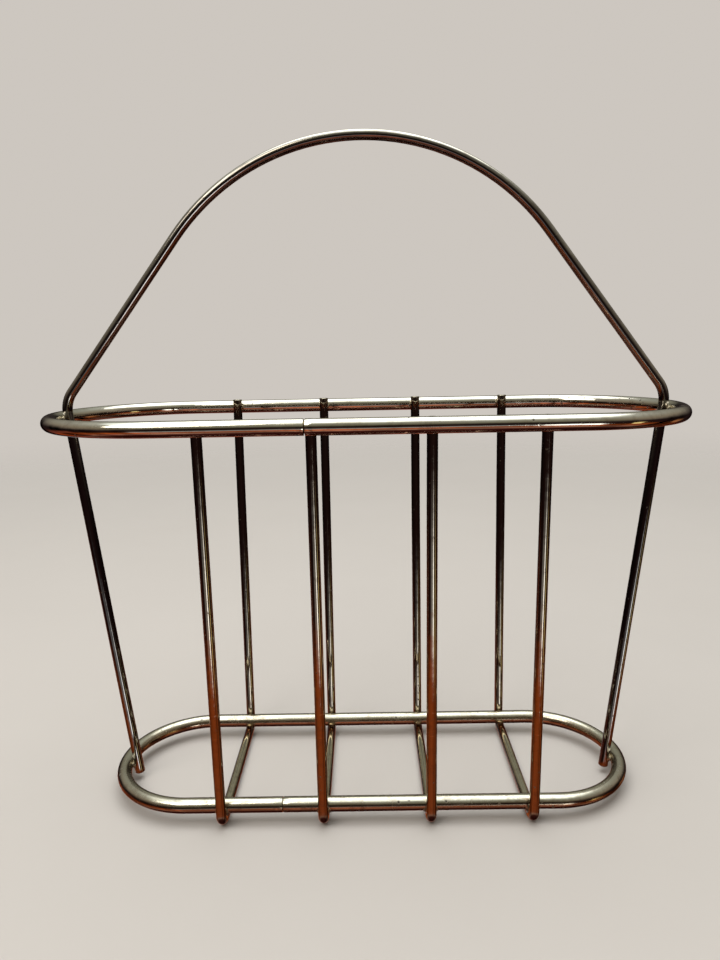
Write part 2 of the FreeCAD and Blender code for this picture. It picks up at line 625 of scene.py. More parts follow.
@dataclass
class BrassEffects:
    """The shader groups that the brass finishes share, each built once."""

    drift: Pattern = Pattern(38.0, 4.0, 0.6)
    drift_strength: float = 0.9
    # Facing heights at which the paler top colour (partly a painted highlight) and the red-brown under colour
    # (partly a painted reflection) take over.
    rubbed_and_highlight_facing: Span = (0.20, 0.80)
    under_and_reflection_facing: Span = (-0.25, -0.75)
    clouds: Pattern = Pattern(150.0, 6.0, 0.68, 0.46, 0.72)
    cloud_tint: Colour = (0.42, 0.33, 0.27, 1.0)
    fine_lines: Pattern = Pattern(1.0, 3.0, 0.6, 0.58, 0.76)
    line_waver: float = 9.0
    cross_marks: Pattern = Pattern(1.0, 2.0, 0.5, 0.66, 0.74)
    cross_stretch: Triple = (520.0, 70.0, 70.0)
    spot_patches: Pattern = Pattern(26.0, 2.0, 0.5, 0.40, 0.62)
    spot_size: float = 0.16
    spot_size_spread: float = 0.28
    spot_core: float = 0.06
    tarnish_and_light: NodeTree = field(init=False)
    drawn_lines: NodeTree = field(init=False)
    pits: NodeTree = field(init=False)

    def __post_init__(self) -> None:
        """Builds all of them."""
        self.tarnish_and_light = self._tarnish_and_light()
        self.drawn_lines = self._drawn_lines()
        self.pits = self._pits()

    def _tarnish_and_light(self) -> NodeTree:
        """Colour by the way the surface faces, mottled: paler above, partly rubbed metal and partly a painted
        highlight; darker at the sides, partly tarnish and partly painted shade; red-brown below, partly
        tarnish and partly a painted reflection of a brown floor.

        Returns:
            The group's tree.
        """
        bench = Bench.group(
            "Tarnish by facing",
            "ShaderNodeTree",
            {
                "Position": ("NodeSocketVector", None),
                "Rubbed": ("NodeSocketColor", (0.7, 0.6, 0.4, 1.0)),
                "Side": ("NodeSocketColor", (0.3, 0.25, 0.15, 1.0)),
                "Under": ("NodeSocketColor", (0.2, 0.1, 0.06, 1.0)),
                "Mottle": ("NodeSocketFloat", 0.3),
            },
            {"Color": "NodeSocketColor", "Dull Part": "NodeSocketFloat"},
        )
        given = bench.node("NodeGroupInput").outputs
        normal = bench.node("ShaderNodeNewGeometry").outputs["Normal"]
        facing = bench.node("ShaderNodeSeparateXYZ", {0: normal})
        drift = bench.calc("SUBTRACT", bench.noise(self.drift, given["Position"]), 0.5)
        height = bench.calc("MULTIPLY_ADD", drift, self.drift_strength, facing.outputs["Z"])
        # Painted light: the tops get a paler colour for a highlight, the sides a darker one for shade, the
        # undersides red-brown for a reflection of a brown floor; each is partly tarnish too.
        colour = bench.mix(bench.ease(height, *self.rubbed_and_highlight_facing), given["Side"], given["Rubbed"])
        colour = bench.mix(bench.ease(height, *self.under_and_reflection_facing), colour, given["Under"])
        dull = bench.mask(self.clouds, given["Position"])
        shade = bench.mix(1.0, colour, self.cloud_tint, "MULTIPLY")
        colour = bench.mix(bench.calc("MULTIPLY", dull, given["Mottle"]), colour, shade)
        bench.node("NodeGroupOutput", {"Color": colour, "Dull Part": dull})
        return bench.tree

    def _drawn_lines(self) -> NodeTree:
        """Fine lines along a rod, left by drawing and polishing, and a few marks across it.

        Returns:
            The group's tree.
        """
        bench = Bench.group(
            "Drawn lines",
            "ShaderNodeTree",
            {
                "Rod Space": ("NodeSocketVector", None),
                "Fineness": ("NodeSocketFloat", 1500.0),
                "Marks": ("NodeSocketFloat", 0.5),
            },
            {"Lines": "NodeSocketFloat", "Height": "NodeSocketFloat"},
        )
        given = bench.node("NodeGroupInput").outputs
        fine = given["Fineness"]
        stretch = bench.node("ShaderNodeCombineXYZ", {0: self.line_waver, 1: fine, 2: fine}).outputs[0]
        lines = bench.mask(self.fine_lines, bench.vector("MULTIPLY", given["Rod Space"], stretch))
        cross = bench.mask(self.cross_marks, bench.vector("MULTIPLY", given["Rod Space"], self.cross_stretch))
        both = bench.calc("MAXIMUM", lines, bench.calc("MULTIPLY", cross, given["Marks"]))
        bench.node("NodeGroupOutput", {"Lines": both, "Height": bench.calc("SUBTRACT", 1.0, both)})
        return bench.tree

    def _pits(self) -> NodeTree:
        """Small dark pits and tarnish spots, scattered thinly and crowded round one place.

        Returns:
            The group's tree.
        """
        bench = Bench.group(
            "Pits and spots",
            "ShaderNodeTree",
            {
                "Position": ("NodeSocketVector", None),
                "Per Metre": ("NodeSocketFloat", 450.0),
                "Everywhere": ("NodeSocketFloat", 0.1),
                "Crowd Centre": ("NodeSocketVector", None),
                "Crowd Reach": ("NodeSocketFloat", 0.08),
                "Crowd": ("NodeSocketFloat", 0.0),
            },
            {"Spots": "NodeSocketFloat", "Height": "NodeSocketFloat"},
        )
        given = bench.node("NodeGroupInput").outputs
        cells = bench.node("ShaderNodeTexVoronoi", {"Vector": given["Position"], "Scale": given["Per Metre"]})
        chance = bench.node("ShaderNodeSeparateXYZ", {0: cells.outputs["Color"]}).outputs
        gap = bench.vector("DISTANCE", given["Position"], given["Crowd Centre"])
        near = bench.calc("MULTIPLY", bench.ease(gap, given["Crowd Reach"], 0.0), given["Crowd"])
        patches = bench.mask(self.spot_patches, given["Position"])
        share = bench.calc("ADD", bench.calc("MULTIPLY", given["Everywhere"], patches), near)
        chosen = bench.calc("LESS_THAN", chance[0], share)
        size = bench.calc("MULTIPLY_ADD", chance[1], self.spot_size_spread, self.spot_size)
        spot = bench.calc("MULTIPLY", bench.ease(cells.outputs["Distance"], size, self.spot_core), chosen)
        bench.node("NodeGroupOutput", {"Spots": spot, "Height": bench.calc("SUBTRACT", 1.0, spot)})
        return bench.tree


# ------------------------------------------------------------------------------------------------ finishes


def blank_material(name: str) -> tuple[Material, Bench]:
    """Makes an empty node material, and a bench on its tree.

    Args:
        name: Name of the material.

    Returns:
        The material, and the bench.
    """
    material = bpy.data.materials.new(name)
    material.use_nodes = True
    material.node_tree.nodes.clear()
    return material, Bench(material.node_tree)


@dataclass(frozen=True)
class AgedBrass:
    """Old polished brass on drawn stock: colours by facing, which hold a painted highlight, painted shade and
    a painted reflection besides tarnish, and fine lines, pits and a little bare metal.
    """

    name: str
    # Colours by facing: the top colour is partly rubbed metal, partly a painted highlight; the side colour
    # partly tarnish, partly painted shade; the under colour partly tarnish, partly a painted reflection.
    rubbed: Colour
    side: Colour
    under: Colour
    mottle: float
    gloss: Span
    fineness: float = 1500.0
    spots: float = 0.1
    spots_per_metre: float = 450.0
    crowd_centre: Triple = (0.0, 0.0, 0.0)
    crowd_reach: float = 0.08
    crowd: float = 0.0
    bare: Colour = (0.86, 0.74, 0.48, 1.0)
    bare_share: float = 0.35
    spot: Colour = (0.045, 0.030, 0.018, 1.0)
    spot_metal_loss: float = 0.6
    smears: Pattern = Pattern(55.0, 5.0, 0.6, 0.3, 0.7)
    dull_roughness: float = 0.10
    line_roughness: float = 0.08
    spot_roughness: float = 0.35
    swell: Pattern = Pattern(50.0)
    swell_height: float = 3.2
    line_height: float = 0.10
    spot_height: float = 0.6
    relief: float = 0.06 * MM
    coat: float = 0.12
    coat_roughness: float = 0.10

    def build(self, effects: BrassEffects) -> Material:
        """Makes the material.

        Args:
            effects: The shared shader groups.

        Returns:
            The finished node material.
        """
        material, bench = blank_material(self.name)
        position = bench.node("ShaderNodeTexCoord").outputs["Object"]
        rod_space = bench.node("ShaderNodeAttribute", attribute_name=ROD_SPACE).outputs["Vector"]
        tarnish_and_light = bench.node(
            "ShaderNodeGroup",
            {
                "Position": position, "Rubbed": self.rubbed, "Side": self.side, "Under": self.under,
                "Mottle": self.mottle,
            },
            node_tree=effects.tarnish_and_light,
        ).outputs
        drawn = bench.node(
            "ShaderNodeGroup",
            {"Rod Space": rod_space, "Fineness": self.fineness},
            node_tree=effects.drawn_lines,
        ).outputs
        pits = bench.node(
            "ShaderNodeGroup",
            {
                "Position": position, "Per Metre": self.spots_per_metre, "Everywhere": self.spots,
                "Crowd Centre": self.crowd_centre, "Crowd Reach": self.crowd_reach, "Crowd": self.crowd,
            },
            node_tree=effects.pits,
        ).outputs

        worn = bench.calc("MULTIPLY", drawn["Lines"], self.bare_share)
        colour = bench.mix(worn, tarnish_and_light["Color"], self.bare)
        colour = bench.mix(pits["Spots"], colour, self.spot)

        glossy, duller = self.gloss
        rough = bench.node(
            "ShaderNodeMapRange",
            {
                "Value": bench.noise(self.smears, position),
                "From Min": self.smears.empty,
                "From Max": self.smears.full,
                "To Min": glossy,
                "To Max": duller,
            },
        ).outputs[0]
        rough = bench.calc("MULTIPLY_ADD", tarnish_and_light["Dull Part"], self.dull_roughness, rough)
        rough = bench.calc("MULTIPLY_ADD", drawn["Lines"], self.line_roughness, rough)
        rough = bench.calc("MULTIPLY_ADD", pits["Spots"], self.spot_roughness, rough, clamp=True)

        height = bench.calc("MULTIPLY", drawn["Height"], self.line_height)
        height = bench.calc("MULTIPLY_ADD", pits["Height"], self.spot_height, height)
        height = bench.calc("MULTIPLY_ADD", bench.noise(self.swell, position), self.swell_height, height)
        bench.surface(
            {
                "Base Color": colour,
                "Roughness": rough,
                "Metallic": bench.calc("MULTIPLY_ADD", pits["Spots"], -self.spot_metal_loss, 1.0),
                "Normal": bench.bump(height, self.relief),
                "Coat Weight": self.coat,
                "Coat Roughness": self.coat_roughness,
            }
        )
        return material


@dataclass(frozen=True)
class BrazeFiller:
    """Run filler metal: dull, lumpy, greyish gold with dark flux stains."""

    name: str = "Braze filler"
    light: Colour = (0.46, 0.40, 0.27, 1.0)
    dark: Colour = (0.10, 0.075, 0.05, 1.0)
    stains: Pattern = Pattern(420.0, 5.0, 0.65, 0.38, 0.66)
    pits_per_metre: float = 1300.0
    pits: float = 0.5
    pit_darkness: float = 0.7
    pit_depth: float = 0.5
    lumps: Pattern = Pattern(700.0, 4.0, 0.6)
    relief: float = 0.12 * MM
    relief_strength: float = 0.8
    roughness: float = 0.30
    stain_roughness: float = 0.22
    metal: float = 0.9

    def build(self, effects: BrassEffects) -> Material:
        """Makes the material.

        Args:
            effects: The shared shader groups.

        Returns:
            The finished node material.
        """
        material, bench = blank_material(self.name)
        position = bench.node("ShaderNodeTexCoord").outputs["Object"]
        stain = bench.mask(self.stains, position)
        pits = bench.node(
            "ShaderNodeGroup",
            {"Position": position, "Per Metre": self.pits_per_metre, "Everywhere": self.pits},
            node_tree=effects.pits,
        ).outputs
        colour = bench.mix(stain, self.light, self.dark)
        colour = bench.mix(bench.calc("MULTIPLY", pits["Spots"], self.pit_darkness), colour, self.dark)
        height = bench.calc("MULTIPLY_ADD", pits["Height"], self.pit_depth, bench.noise(self.lumps, position))
        bench.surface(
            {
                "Base Color": colour,
                "Roughness": bench.calc("MULTIPLY_ADD", stain, self.stain_roughness, self.roughness),
                "Metallic": self.metal,
                "Normal": bench.bump(height, self.relief, self.relief_strength),
            }
        )
        return material


@dataclass(frozen=True)
class PlugBar:
    """Turned brass bar with fine rings, dark where the seam has let the air in."""

    name: str = "Turned plug bar"
    metal: Colour = (0.30, 0.23, 0.12, 1.0)
    grime: Colour = (0.035, 0.025, 0.016, 1.0)
    dirt: Pattern = Pattern(160.0, 4.0, 0.6, 0.25, 0.62)
    rings: Pattern = Pattern(1.0, 2.0)
    ring_stretch: Triple = (2600.0, 30.0, 30.0)
    ring_depth: float = 0.05 * MM
    ring_strength: float = 0.4
    roughness: float = 0.35
    ring_roughness: float = 0.25

    def build(self, effects: BrassEffects) -> Material:
        """Makes the material.

        Args:
            effects: The shared shader groups.

        Returns:
            The finished node material.
        """
        material, bench = blank_material(self.name)
        position = bench.node("ShaderNodeTexCoord").outputs["Object"]
        rings = bench.noise(self.rings, bench.vector("MULTIPLY", position, self.ring_stretch))
        pits = bench.node("ShaderNodeGroup", {"Position": position}, node_tree=effects.pits).outputs
        dirty = bench.calc("MAXIMUM", bench.mask(self.dirt, position), pits["Spots"])
        bench.surface(
            {
                "Base Color": bench.mix(dirty, self.metal, self.grime),
                "Roughness": bench.calc("MULTIPLY_ADD", rings, self.ring_roughness, self.roughness),
                "Metallic": 1.0,
                "Normal": bench.bump(rings, self.ring_depth, self.ring_strength),
            }
        )
        return material


@dataclass(frozen=True)
class PaperFloor:
    """Pale seamless paper that fades into the backdrop with distance."""

    name: str = "Seamless paper"
    light: Colour = (0.62, 0.575, 0.545, 1.0)
    shade: Colour = (0.59, 0.545, 0.515, 1.0)
    shades: Pattern = Pattern(5.0, 6.0, 0.6)
    grain: Pattern = Pattern(900.0, 2.0)
    grain_depth: float = 0.1 * MM
    grain_strength: float = 0.1
    roughness: float = 0.85
    sheen_level: float = 0.2
    solid_to: float = 0.7
    gone_at: float = 2.4

    def build(self) -> Material:
        """Makes the material.

        Returns:
            The finished node material.
        """
        material, bench = blank_material(self.name)
        position = bench.node("ShaderNodeTexCoord").outputs["Object"]
        grain = bench.noise(self.grain, position)
        bench.surface(
            {
                "Base Color": bench.mix(bench.noise(self.shades, position), self.light, self.shade),
                "Roughness": self.roughness,
                "Alpha": bench.ease(bench.vector("LENGTH", position), self.gone_at, self.solid_to),
                "Normal": bench.bump(grain, self.grain_depth, self.grain_strength),
                "Specular IOR Level": self.sheen_level,
            }
        )
        return material


# ------------------------------------------------------------------------------------------------ the rack


def hand_over(piece: Object, slot: Slot, node: str) -> None:
    """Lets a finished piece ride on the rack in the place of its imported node, and reports it.

    Args:
        piece: The finished object.
        slot: The record's material slot that it belongs to.
        node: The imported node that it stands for.
    """
    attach(piece, BODY)
    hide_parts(node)
    LOG.info("%s: %d faces, %s", piece.name, len(piece.data.polygons), slot.value)


def middle_and_half(node: str) -> tuple[Vector, Vector]:
    """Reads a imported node's box, to a hundredth of a millimetre.

    Args:
        node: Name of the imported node.

    Returns:
        The middle, and the half size along each axis.
    """
    low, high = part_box(node)
    return (
        Vector([round(v, 5) for v in (low + high) / 2]),
        Vector([round(v, 5) for v in (high - low) / 2]),
    )


@dataclass
class Rim:
    """A long oval of tube, closed by a butt seam on its front straight."""

    node: str
    seam_x: float
    seed: float
    seam_gap: float = 0.7 * MM
    wall: float = 1.2 * MM
    sides: int = 44
    edge: float = 0.18 * MM
    edge_angle: float = math.radians(60)
    wave_height: float = 0.16 * MM
    wave_length: float = 0.11
    longest_run: float = 5 * MM
    largest_turn: float = math.radians(2)
    radius: float = field(init=False)
    half_length: float = field(init=False)
    end_radius: float = field(init=False)
    z: float = field(init=False)

    def __post_init__(self) -> None:
        """Reads the tube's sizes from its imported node."""
        middle, half = middle_and_half(self.node)
        self.radius = half.z
        self.half_length = half.x - self.radius
        self.end_radius = half.y - self.radius
        self.z = middle.z

    def centre_line(self) -> CentreLine:
        """The tube's middle line.

        Returns:
            The line, from the right of the seam round to its left.
        """
        x, y = self.half_length, self.end_radius
        corners = [
            Vector((self.seam_x + self.seam_gap / 2, -y, self.z)),
            Vector((x, -y, self.z)),
            Vector((x, y, self.z)),
            Vector((-x, y, self.z)),
            Vector((-x, -y, self.z)),
            Vector((self.seam_x - self.seam_gap / 2, -y, self.z)),
        ]
        return CentreLine(corners, [y] * 4, run=self.longest_run, turn=self.largest_turn)

    def build(self, sweep: RodSweep, finish: Material) -> None:
        """Makes the tube.

        Args:
            sweep: The tree that sweeps sections.
            finish: Its material.
        """
        def give_wall(rough: Object) -> None:
            """Gives the swept skin its wall and breaks the edges at the seam.

            Args:
                rough: The swept skin.
            """
            solid = rough.modifiers.new("wall", "SOLIDIFY")
            solid.thickness, solid.offset, solid.use_rim = self.wall, -1.0, True
            bevel = rough.modifiers.new("edges", "BEVEL")
            bevel.width, bevel.segments = self.edge, 2
            bevel.limit_method, bevel.angle_limit = "ANGLE", self.edge_angle

        piece = sweep.grow(
            self.node + "_tube",
            self.centre_line().mesh(self.node),
            {
                "Radius": self.radius, "Sides": self.sides, "Solid": False, "Seed": self.seed,
                "Wave Height": self.wave_height, "Wave Length": self.wave_length, "Finish": finish,
            },
            give_wall,
        )
        hand_over(piece, Slot.TUBE, self.node)


@dataclass
class BentRod:
    """A rod of the hoops' and the handle's stock, with filed ends."""

    radius: float
    end_round: float = 0.5 * MM
    sides: int = 32
    wave_height: float = 0.13 * MM
    wave_length: float = 0.09

    def build(self, node: str, line: CentreLine, seed: float, sweep: RodSweep, finish: Material) -> None:
        """Makes the rod along its line.

        Args:
            node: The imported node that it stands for.
            line: Its centre line.
            seed: Picks its own unevenness.
            sweep: The tree that sweeps sections.
            finish: Its material.
        """
        piece = sweep.grow(
            node + "_rod",
            line.mesh(node),
            {
                "Radius": self.radius, "End Round": self.end_round, "Sides": self.sides, "Solid": True,
                "Wave Height": self.wave_height, "Wave Length": self.wave_length, "Seed": seed,
                "Finish": finish,
            },
        )
        hand_over(piece, Slot.ROD, node)


@dataclass
class HoopRow:
    """Four U-shaped hoops: front upright, floor bar under the base rim, rear upright."""

    top: Rim
    base: Rim
    nodes: tuple[str, ...] = ("hoop_left_outer", "hoop_left_inner", "hoop_right_inner", "hoop_right_outer")
    joint_gap: float = 0.1 * MM
    rear_proud: float = 1.0 * MM
    front_low: float = 1.0 * MM
    seeds: tuple[float, ...] = (3.1, 4.8, 6.5, 8.2)
    places: list[float] = field(init=False)
    rod: BentRod = field(init=False)

    def __post_init__(self) -> None:
        """Reads the hoops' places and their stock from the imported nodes."""
        found = [middle_and_half(node) for node in self.nodes]
        self.places = [middle.x for middle, _ in found]
        self.rod = BentRod(found[0][1].x)

    @property
    def contact(self) -> float:
        """Centre line to centre line where a rod lies on a rim."""
        return self.base.radius + self.joint_gap + self.rod.radius

    def centre_line(self, x: float) -> CentreLine:
        """Middle line of one hoop.

        Args:
            x: Where the hoop stands.

        Returns:
            The line, from the front end to the rear end.
        """
        out = self.top.end_radius - self.base.end_radius
        rise = self.top.z - self.base.z
        lean = math.atan2(out, rise) - math.asin(2 * self.contact / math.hypot(out, rise))

        def upright_y(z: float) -> float:
            """Distance of an upright's middle line from the rack's middle at height z."""
            return self.base.end_radius + self.contact / math.cos(lean) + (z - self.base.z) * math.tan(lean)

        front_z = self.top.z + self.top.radius - self.front_low
        rear_z = self.top.z + self.top.radius + self.rear_proud
        floor_z = self.rod.radius
        corners = [
            Vector((x, -upright_y(front_z), front_z)),
            Vector((x, -upright_y(floor_z), floor_z)),
            Vector((x, upright_y(floor_z), floor_z)),
            Vector((x, upright_y(rear_z), rear_z)),
        ]
        return CentreLine(corners, [self.contact] * 2, self.rod.end_round)

    def build(self, sweep: RodSweep, finish: Material) -> None:
        """Makes the four hoops."""
        for node, x, seed in zip(self.nodes, self.places, self.seeds):
            self.rod.build(node, self.centre_line(x), seed, sweep, finish)


@dataclass
class HandleFrame:
    """One long rod: left leg, shoulder, arch, shoulder, right leg, all in one upright plane."""

    top: Rim
    base: Rim
    contact: float
    node: str = "handle_frame"
    crown_radius: float = 145 * MM
    shoulder_radius: float = 19 * MM
    leg_past_rim: float = 3.5 * MM
    wave_height: float = 0.2 * MM
    wave_length: float = 0.14
    largest_turn: float = math.radians(2.5)
    seed: float = 11.3
    rod: BentRod = field(init=False)
    y: float = field(init=False)
    foot_z: float = field(init=False)
    height: float = field(init=False)

    def __post_init__(self) -> None:
        """Reads the frame's plane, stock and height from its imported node."""
        middle, half = middle_and_half(self.node)
        self.y = middle.y
        self.rod = BentRod(half.y, wave_height=self.wave_height, wave_length=self.wave_length)
        self.foot_z = middle.z - half.z
        self.height = middle.z + half.z

    def leg_x(self, z: float) -> float:
        """Distance of a leg's middle line from the rack's middle at height z.

        Args:
            z: Height.

        Returns:
            The distance.
        """
        run, rise = self.top.half_length - self.base.half_length, self.top.z - self.base.z
        inset = self.contact / math.cos(math.atan2(run, rise))

        def at_rim(rim: Rim) -> float:
            """The same at a rim, which the leg touches from inside."""
            return rim.half_length - rim.end_radius + math.sqrt((rim.end_radius - inset) ** 2 - self.y**2)

        base_x, top_x = at_rim(self.base), at_rim(self.top)
        return base_x + (top_x - base_x) * (z - self.base.z) / rise

    def centre_line(self) -> CentreLine:
        """The rod's middle line.

        Returns:
            The line, from the left foot over the arch to the right foot.
        """
        lean = math.atan2(self.top.half_length - self.base.half_length, self.top.z - self.base.z)
        bend_z = self.top.z + self.leg_past_rim
        bend_x = self.leg_x(bend_z)
        crown_z = self.height - self.rod.radius - self.crown_radius
        centre_x = bend_x - self.shoulder_radius * math.cos(lean)
        rise = crown_z - (bend_z + self.shoulder_radius * math.sin(lean))
        slant = math.atan2(rise, centre_x) + math.asin(
            (self.crown_radius - self.shoulder_radius) / math.hypot(centre_x, rise)
        )
        reach = self.shoulder_radius * math.tan((math.pi / 2 - slant + lean) / 2)
        shoulder = (bend_x + reach * math.sin(lean), bend_z + reach * math.cos(lean))
        foot = (self.leg_x(self.foot_z), self.foot_z)
        peak = (0.0, shoulder[1] + shoulder[0] * math.tan(slant))
        outline = [(-foot[0], foot[1]), (-shoulder[0], shoulder[1]), peak, shoulder, foot]
        corners = [Vector((x, self.y, z)) for x, z in outline]
        radii = [self.shoulder_radius, self.crown_radius, self.shoulder_radius]
        return CentreLine(corners, radii, self.rod.end_round, turn=self.largest_turn)

    def build(self, sweep: RodSweep, finish: Material) -> None:
        """Makes the frame."""
        self.rod.build(self.node, self.centre_line(), self.seed, sweep, finish)


@dataclass(frozen=True)
class RimSeat:
    """The place on a rim where a rod is brazed."""

    core: Vector
    outward: Vector
    radius: float
    turn_radius: float = 0.0

    @property
    def along(self) -> Vector:
        """Direction of the rim there."""
        return UP.cross(self.outward)

    def angle_of(self, point: Vector) -> float:
        """Angle about the rim's section, from outward, up being positive, at which a point lies."""
        spoke = point - self.core
        return math.atan2(spoke.dot(UP), spoke.dot(self.outward))

    def skin(self, u: float, angle: float, depth: float) -> Vector:
        """Finds a point of the rim's surface.

        Args:
            u: Distance along the rim.
            angle: Angle about its section, from outward.
            depth: How far the point lies below the surface.

        Returns:
            The point.
        """
        outward, core = self.outward, self.core + self.along * u
        if self.turn_radius:
            turn = u / self.turn_radius
            outward = self.outward * math.cos(turn) + self.along * math.sin(turn)
            core = self.core + (outward - self.outward) * self.turn_radius
        return core + (outward * math.cos(angle) + UP * math.sin(angle)) * (self.radius - depth)


@dataclass(frozen=True)
class Fillet:
    """Filler run into the crease between a rod and a rim: a closed saddle that ends inside both.

    It reaches rod_reach along the rod and rod_wrap round it, and rim_reach along the rim. Where it ends on
    the rim, it follows the rod up and down as far as rim_wrap. The crease numbers are shares of the reaches.
    """

    rod_reach: float
    rod_wrap: float
    rim_reach: float
    rim_wrap: float
    sink: float = 0.16 * MM
    hollow: float = 0.42
    crease_on_rod: float = 0.8
    crease_on_rim: float = 0.3
    crease_lift: float = 0.05 * MM
    round_steps: int = 28
    rise_steps: int = 6

    def add_to(
        self, mesh: BMesh, line: CentreLine, rod_radius: float, seat: RimSeat, near: Vector
    ) -> None:
        """Adds the fillet to a mesh.

        Args:
            mesh: Mesh that it goes into.
            line: The rod's centre line.
            rod_radius: The rod's radius.
            seat: The place on the rim.
            near: Point next to the middle of the joint on the rod's line.
        """
        start = line.place_of(near)

        def rod_skin(distance: float, angle: float) -> Vector:
            """Finds a point of the rod's surface, sunk a little.

            Args:
                distance: Distance along the rod from the middle of the joint.
                angle: Angle about the rod from the side that faces the rim.

            Returns:
                The point.
            """
            point, heading = line.at(start + distance)
            about = seat.angle_of(point)
            spoke = seat.outward * math.cos(about) + UP * math.sin(about)
            spoke = (spoke - heading * spoke.dot(heading)).normalized()
            return point + (seat.along * math.sin(angle) - spoke * math.cos(angle)) * (rod_radius - self.sink)

        def rim_skin(share: float, distance: float, depth: float) -> Vector:
            """Point of the rim's surface, level with the rod's middle at a distance along it."""
            about = seat.angle_of(line.at(start + distance)[0])
            return seat.skin(self.rim_reach * share, about, depth)

        rows: list[list[BMVert]] = []
        for step in range(self.round_steps):
            turn = 2 * math.pi * step / self.round_steps
            side, up = math.cos(turn), math.sin(turn)
            on_rod = rod_skin(self.rod_reach * up, self.rod_wrap * side)
            on_rim = rim_skin(side, self.rim_wrap * up, self.sink)
            crease = rim_skin(
                self.crease_on_rim * side, self.crease_on_rod * self.rod_reach * up, -self.crease_lift
            )
            pull = ((on_rod + on_rim) / 2).lerp(crease, self.hollow)
            row = []
            for rise in range(self.rise_steps + 1):
                t = rise / self.rise_steps
                row.append(mesh.verts.new(on_rod * (1 - t) ** 2 + pull * 2 * t * (1 - t) + on_rim * t**2))
            rows.append(row)
        for here, onward in zip(rows, rows[1:] + rows[:1]):
            for rise in range(self.rise_steps):
                mesh.faces.new((here[rise], onward[rise], onward[rise + 1], here[rise + 1]))
        self._close(mesh, [row[0] for row in rows])
        self._close(mesh, [row[-1] for row in rows])

    def _close(self, mesh: BMesh, ring: list[BMVert]) -> None:
        """Closes an end of the saddle with bands across it.

        Args:
            mesh: Mesh that it belongs to.
            ring: The end's vertices in order. The bands run from its top down both sides.
        """
        count, top = len(ring), len(ring) // 4
        for step in range(count // 2):
            band = [
                ring[(top + step) % count], ring[(top + step + 1) % count],
                ring[(top - step - 1) % count], ring[(top - step) % count],
            ]
            mesh.faces.new(list(dict.fromkeys(band)))


@dataclass
class BrazedJoints:
    """All the fillets, one piece for each packed braze node."""

    top: Rim
    base: Rim
    hoops: HoopRow
    handle: HandleFrame
    crossing: Fillet = Fillet(3.6 * MM, math.radians(62), 4.7 * MM, 3.0 * MM)
    wrapped: Fillet = Fillet(9.0 * MM, math.radians(62), 5.3 * MM, 9.6 * MM)
    wrapped_below: float = math.radians(42)
    leg: Fillet = Fillet(4.2 * MM, math.radians(64), 5.2 * MM, 3.6 * MM)
    unevenness: float = 0.45 * MM
    front_seed: float = 2.0
    rear_seed: float = 5.3
    leg_seed: float = 9.1

    def _grow(
        self,
        node: str,
        fillets: BMesh,
        places: Sequence[Vector],
        seed: float,
        row: FilletRow,
        finish: Material,
    ) -> None:
        """Sets a copy of the fillets at each place and hands the piece over.

        Args:
            node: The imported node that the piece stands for.
            fillets: One joint's fillet, or all the fillets where the places are only the origin.
            places: Where the copies go.
            seed: Picks the piece's own unevenness.
            row: The tree that sets and roughens them.
            finish: The piece's material.
        """
        bmesh.ops.recalc_face_normals(fillets, faces=fillets.faces)
        template = object_of(fillets, node + "_template")
        points = bpy.data.meshes.new(node)
        points.from_pydata(places, [], [])
        inputs = {"Fillet": template, "Seed": seed, "Unevenness": self.unevenness, "Finish": finish}
        piece = row.grow(node + "_fillets", points, inputs)
        bpy.data.objects.remove(template)
        hand_over(piece, Slot.BRAZE, node)

    def hoop_fillets(self, face: Face, seed: float, row: FilletRow, finish: Material) -> None:
        """Makes the fillets of the hoops on both rims at one face of the rack.

        Args:
            face: Front or rear.
            seed: Picks their own unevenness.
            row: The tree that sets and roughens them.
            finish: Their material.
        """
        line = self.hoops.centre_line(0.0)
        places = [Vector((x, 0.0, 0.0)) for x in self.hoops.places]
        outward = Vector((0.0, float(face.value), 0.0))
        below = outward * math.cos(self.wrapped_below) - UP * math.sin(self.wrapped_below)
        for level, rim, fillet, to_rod in (
            ("top", self.top, self.crossing, -outward),
            ("base", self.base, self.wrapped, below),
        ):
            seat = RimSeat(outward * rim.end_radius + UP * rim.z, outward, rim.radius)
            joint = bmesh.new()
            fillet.add_to(joint, line, self.hoops.rod.radius, seat, seat.core + to_rod * self.hoops.contact)
            self._grow(f"braze_{level}_{face.name.lower()}", joint, places, seed, row, finish)

    def leg_fillets(self, level: str, rim: Rim, row: FilletRow, finish: Material) -> None:
        """Makes the fillets of both legs on a rim's round ends.

        Args:
            level: "top" or "base".
            rim: The rim there.
            row: The tree that sets and roughens them.
            finish: Their material.
        """
        line = self.handle.centre_line()
        joints = bmesh.new()
        for end in End:
            leg = Vector((end.value * self.handle.leg_x(rim.z), self.handle.y, rim.z))
            hub = Vector((end.value * (rim.half_length - rim.end_radius), 0.0, rim.z))
            outward = (leg - hub).normalized()
            seat = RimSeat(hub + outward * rim.end_radius, outward, rim.radius, rim.end_radius)
            self.leg.add_to(joints, line, self.handle.rod.radius, seat, leg)
        self._grow(f"braze_handle_{level}", joints, [Vector()], self.leg_seed, row, finish)

    def build(self, row: FilletRow, finish: Material) -> None:
        """Makes all the fillets.

        Args:
            row: The tree that sets and roughens fillets.
            finish: Their material.
        """
        self.hoop_fillets(Face.FRONT, self.front_seed, row, finish)
        self.hoop_fillets(Face.REAR, self.rear_seed, row, finish)
        self.leg_fillets("top", self.top, row, finish)
        self.leg_fillets("base", self.base, row, finish)


